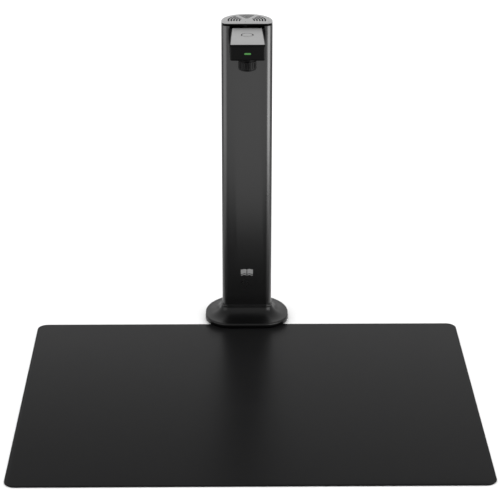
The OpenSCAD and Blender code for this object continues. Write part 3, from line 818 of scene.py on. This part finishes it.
# the grey lid with black sides, its button well and the bosses for the screws
def headCover():
    bm = headBlock(0, headSeam, headTop, lidRear)
    sides = [e for e in edgesAlong(bm, 1) if atHeight(e, headTop)]
    bevelEdges(bm, sides, head["sideRound"], 6)
    front = [e for e in bm.edges if all(v.co.y < headLow.y + 1e-6 for v in e.verts)]
    bevelEdges(bm, front, head["topRound"], 4)
    turnOut(bm)
    piece = addPiece("headCover", bm, "head_cover")
    base = headLow.z + head["wall"] + head["bossGap"]
    bosses = [post(head["bossRadius"], base, headSeam + 0.5 * mm, 2, p, 32) for p in screwPlaces]
    carve(piece, bosses, "UNION")
    bores = [post(head["bossBore"], base - 1 * mm, base + head["bossBoreDeep"], 2, p, 24)
             for p in screwPlaces]
    carve(piece, bores + [knuckleCutter(), buttonWell()])
    paintedShadeBelow = headTop - button["ringDeep"] / 2
    # the black sides are the lid's two-tone paint; the faces low in the button's ring groove are painted
    # black as painted shade
    repaint(piece, "head_black", lambda face: face.normal.z < head["flat"] or face.center.z < paintedShadeBelow)
    # the rounds on the lid's sharp edges take the black finish: painted shade on the groove ring and other
    # edges
    bevelPiece(piece, 0.1 * mm, 2, 60, 1)


button = {"ring": 0.9 * mm, "ringDeep": 0.8 * mm, "gap": 0.08 * mm, "edge": 0.4 * mm, "dish": 0.25 * mm,
          "flange": 1.2 * mm, "flangeThick": 0.9 * mm}
buttonRadius = high("scan_button").x - button["flange"]


def buttonWell():
    inner, outer = buttonRadius + button["gap"], buttonRadius + button["ring"]
    return turned([(0, headSeam - 1 * mm), (inner, headSeam - 1 * mm), (inner, headTop - button["ringDeep"]),
                   (outer, headTop - button["ringDeep"]), (outer, headTop + 1 * mm), (0, headTop + 1 * mm)],
                  buttonAxis.xy, 96, closed=False)


def scanButton():
    top, base, r, edge = high("scan_button").z, low("scan_button").z, buttonRadius, button["edge"]
    dish = [(r - edge) * i / 8 for i in range(9)]
    profile = [(x, top - button["dish"] * (1 - (x / (r - edge)) ** 2)) for x in dish]
    profile += [(r - edge * (1 - math.sin(a)), top - edge * (1 - math.cos(a))) for a in quarter(4)[1:]]
    profile += [(r, base + button["flangeThick"]), (r + button["flange"], base + button["flangeThick"]),
                (r + button["flange"], base), (0, base)]
    addPiece("scanButton", turned(profile, buttonAxis.xy, 96, closed=False), "scan_button")


# a pill-shaped light guide with a domed front
def statusLens():
    lowest, highest = low("status_lens"), high("status_lens")
    bm = block(lowest, highest)
    bevelEdges(bm, edgesAlong(bm, 1), (highest.z - lowest.z) * 0.499, 10)
    front = [e for e in bm.edges if all(v.co.y < lowest.y + 1e-6 for v in e.verts)]
    bevelEdges(bm, front, head["statusDome"], 3)
    addPiece("statusLens", bm, "status_lens")


headCase()
headCover()
scanButton()
statusLens()
print("head made")


lens = {"tubeRadius": 8.1 * mm, "bore": 6.2 * mm, "collarTall": 4 * mm, "chamfer": 0.4 * mm,
        "lip": 0.5 * mm, "lipRound": 0.15 * mm, "mouthDeep": 1.9 * mm, "threads": 4,
        "flutes": 24, "fluteDeep": 0.55 * mm, "fluteSteps": 12, "fluteSoft": 0.6,
        "ringRound": 1.6 * mm, "ringGap": 0.08 * mm, "retainerWide": 1.4 * mm, "retainerStep": 0.2 * mm,
        "diffuserCorner": 0.8 * mm, "diffuserEdge": 0.15 * mm,
        "ribs": 18, "ribRadius": 0.16 * mm, "ribInset": 0.6 * mm}
# how far each groove's corners lie in from the side, and down from its piece's top, in mm
barrelGroove = [(0, 1.1), (0.25, 0.9), (0.25, 0.6), (0, 0.4)]
ringGroove = [(0, 0.8), (0.3, 0.6), (0.3, 0.4), (0, 0.2), (0.15, 0)]
barrelLow = low("focus_ring").z


def lensBarrel():
    top, base = high("lens_barrel").z, low("lens_barrel").z
    collar, tube, bore = high("lens_barrel").x, lens["tubeRadius"], lens["bore"]
    collarLow, edge = headLow.z - lens["collarTall"], lens["chamfer"]
    lip, lipRound = tube - lens["lip"], lens["lipRound"]
    profile = [(bore, top), (bore, base + lens["mouthDeep"])]
    for i in range(lens["threads"]):
        z = base + lens["mouthDeep"] * (1 - (i + 0.5) / lens["threads"])
        r = bore + (lip - bore) * (i + 0.5) / lens["threads"]
        profile += [(r - 0.12 * mm, z), (r + 0.1 * mm, z - 0.05 * mm)]
    profile += [(lip, base), (tube - lipRound, base), (tube, base + lipRound),
                (tube, collarLow), (collar - edge, collarLow), (collar, collarLow + edge)]
    profile += [(collar - deep * mm, headLow.z - below * mm) for deep, below in barrelGroove]
    profile.append((collar, top))
    addPiece("lensBarrel", turned(profile, lensAxis.xy, 128), "lens_barrel", crease=25)


# the grip: a turned ring whose wall is pressed in along each flute
def focusRing():
    base, top, r = barrelLow, high("focus_ring").z, high("focus_ring").x
    inner, edge = lens["tubeRadius"] + lens["ringGap"], lens["ringRound"]
    flutesLow, flutesHigh = base + edge + 0.3 * mm, top - 1.1 * mm
    profile = [(inner, top), (inner, base + 0.3 * mm), (inner + 0.3 * mm, base)]
    profile += [(r - edge * (1 - math.sin(a)), base + edge * (1 - math.cos(a))) for a in quarter(6)]
    profile += [(r, flutesLow + (flutesHigh - flutesLow) * i / 10) for i in range(11)]
    profile += [(r - deep * mm, top - below * mm) for deep, below in ringGroove]
    bm = turned(profile, lensAxis.xy, lens["flutes"] * lens["fluteSteps"])
    for vert in bm.verts:
        out = vert.co.xy - lensAxis.xy
        height = (vert.co.z - flutesLow) / (flutesHigh - flutesLow)
        if out.length < r - 1e-6 or not -0.01 < height < 1.01:
            continue
        turn = math.atan2(out.y, out.x) * lens["flutes"] / math.tau
        inFlute = max(0, math.cos(math.tau * turn)) ** lens["fluteSoft"]
        ends = min(1, 6 * max(0, min(height, 1 - height)) + 0.05)
        vert.co.xy = lensAxis.xy + out * (1 - lens["fluteDeep"] * inFlute * ends / r)
    addPiece("focusRing", bm, "focus_ring", crease=40)


# a glass disc with one domed side facing down
def lensDisc(name, node):
    lowest, highest = low(node), high(node)
    r, dome = highest.x, (highest.z - lowest.z) * 0.5
    profile = [(r * i / 10, lowest.z + dome * (i / 10) ** 2) for i in range(11)]
    profile += [(r, highest.z - 0.1 * mm), (r - 0.1 * mm, highest.z), (0, highest.z)]
    addPiece(name, turned(profile, lensAxis.xy, 64, closed=False), node)


def lensRetainer():
    base, top, r = low("lens_retainer").z, high("lens_retainer").z, high("lens_retainer").x
    inner = r - lens["retainerWide"]
    profile = [(r, base), (r, top), (inner, top), (inner, top - lens["retainerStep"])]
    for i in range(3):
        step = lens["retainerStep"] * i
        profile += [(r - 1.2 * mm + step, top - 0.3 * mm - step),
                    (r - 1.2 * mm + step, top - 0.45 * mm - step)]
    profile.append((r - 0.5 * mm, base))
    addPiece("lensRetainer", turned(profile, lensAxis.xy, 96), "lens_retainer", crease=25)


# an opal bar with prism ribs across its lit face
def lightDiffuser():
    lowest, highest = low("light_diffuser"), high("light_diffuser")
    bm = roundedBlock(lowest, highest, 2, lens["diffuserCorner"], lens["diffuserEdge"])
    piece = addPiece("lightDiffuser", bm, "light_diffuser")
    ribs = bmesh.new()
    count, inset = lens["ribs"], lens["ribInset"]
    for i in range(count):
        x = lowest.x + (highest.x - lowest.x) * (i + 1) / (count + 1)
        post(lens["ribRadius"], lowest.y + inset, highest.y - inset, 1, (x, lowest.z), 12, bm=ribs)
    carve(piece, [ribs])


lensBarrel()
focusRing()
lensDisc("frontLens", "front_lens")
lensDisc("rearLens", "rear_lens")
lensRetainer()
lightDiffuser()
print("lens made")


port = {"corner": 1.4 * mm, "socketWall": 0.3 * mm, "tongueWide": 6.6 * mm, "tongueThick": 0.7 * mm,
        "tongueShort": 0.6 * mm, "socketFloor": 2 * mm, "windowGap": 0.2 * mm, "windowEdge": 0.25 * mm}


# the plate round the socket, with a pill-shaped window that is chamfered
def portBezel():
    lowest, highest = low("port_bezel"), high("port_bezel")
    piece = addPiece("portBezel", roundedBlock(lowest, highest, 1, port["corner"]), "port_bezel")
    inner, outer = low("usb_socket"), high("usb_socket")
    gap = port["windowGap"]
    carve(piece, [roundedBlock((inner.x - gap, lowest.y - 1 * mm, inner.z - gap),
                               (outer.x + gap, highest.y + 1 * mm, outer.z + gap), 1,
                               ((outer.z - inner.z) / 2 + gap) * 0.999)])
    bevelPiece(piece, port["windowEdge"], 3, 50)


def usbSocket():
    lowest, highest = low("usb_socket"), high("usb_socket")
    wall = port["socketWall"]
    half = (highest.z - lowest.z) / 2
    piece = addPiece("usbSocket", roundedBlock(lowest, highest, 1, half * 0.999), "usb_socket")
    carve(piece, [roundedBlock((lowest.x + wall, lowest.y + port["socketFloor"], lowest.z + wall),
                               (highest.x - wall, highest.y + 1 * mm, highest.z - wall), 1,
                               (half - wall) * 0.999)])
    z = (highest.z + lowest.z) / 2
    wide, thick = port["tongueWide"] / 2, port["tongueThick"] / 2
    carve(piece, [roundedBlock((-wide, lowest.y + 1 * mm, z - thick),
                               (wide, highest.y - port["tongueShort"], z + thick), 1, 0.2 * mm)], "UNION")


portBezel()
usbSocket()
print("port made")


studio = {"floorReach": 12.0, "floorShade": 0.93, "worldPower": 1.29, "cardShade": 0.35,
          "cardMiddle": 1.1, "cardHalfWide": 1.5, "cardHalfDeep": 0.98, "cardTall": 0.3}
panels = {"rightPanel": {"place": (0.43, -0.33, 0.25), "size": (0.46, 0.5), "power": 5.2},
          "leftPanel": {"place": (-0.46, -0.3, 0.25), "size": (0.6, 0.5), "power": 2.0}}


def newStage(name, bm, shade):
    mesh = bpy.data.meshes.new(name)
    bm.to_mesh(mesh)
    bm.free()
    sheet = bpy.data.objects.new(name, mesh)
    bpy.context.scene.collection.objects.link(sheet)
    paint = Paint(name)
    cloud = paint.noise(0.4, 3)
    colour = paint.blend(cloud, tint((shade,) * 3), tint((shade,) * 3, 0.98))
    mesh.materials.append(paint.finish(Base_Color=colour, Roughness=0.9, Specular_IOR_Level=0.1))
    return sheet


# a soft panel turned to the column's axis, which shows in reflections only
def areaLight(name, place, size, power):
    data = bpy.data.lights.new(name, "AREA")
    data.shape = "RECTANGLE"
    data.size, data.size_y = size
    data.energy = power
    lamp = bpy.data.objects.new(name, data)
    lamp.location = place
    lamp.rotation_euler = Vector((-place[0], -place[1], 0)).to_track_quat("-Z", "Y").to_euler()
    lamp.visible_camera = False
    lamp.visible_diffuse = False
    bpy.context.scene.collection.objects.link(lamp)


def makeStudio():
    bm = bmesh.new()
    bmesh.ops.create_grid(bm, x_segments=8, y_segments=8, size=studio["floorReach"])
    newStage("floor", bm, studio["floorShade"])
    # a grey card lying and standing behind, seen only in reflections, keeps the outline dark
    bm = bmesh.new()
    bmesh.ops.create_grid(bm, x_segments=1, y_segments=1, size=1,
                          matrix=Matrix.Translation((0, studio["cardMiddle"], 1 * mm))
                          @ Matrix.Diagonal((studio["cardHalfWide"], studio["cardHalfDeep"], 1, 1)))
    back = [e for e in bm.edges if all(v.co.y > studio["cardMiddle"] for v in e.verts)]
    raised = bmesh.ops.extrude_edge_only(bm, edges=back)["geom"]
    bmesh.ops.translate(bm, verts=[v for v in raised if isinstance(v, bmesh.types.BMVert)],
                        vec=(0, 0, studio["cardTall"]))
    card = newStage("greyCard", bm, studio["cardShade"])
    card.visible_camera = False
    card.visible_diffuse = False
    card.visible_shadow = False
    world = bpy.data.worlds.new("studioWhite")
    bpy.context.scene.world = world
    world.use_nodes = True
    sky = world.node_tree.nodes["Background"]
    sky.inputs["Color"].default_value = (1, 1, 1, 1)
    sky.inputs["Strength"].default_value = studio["worldPower"]
    for name, panel in panels.items():
        areaLight(name, panel["place"], panel["size"], panel["power"])
    bpy.context.scene.view_settings.view_transform = "Standard"


makeStudio()
print("studio lit")
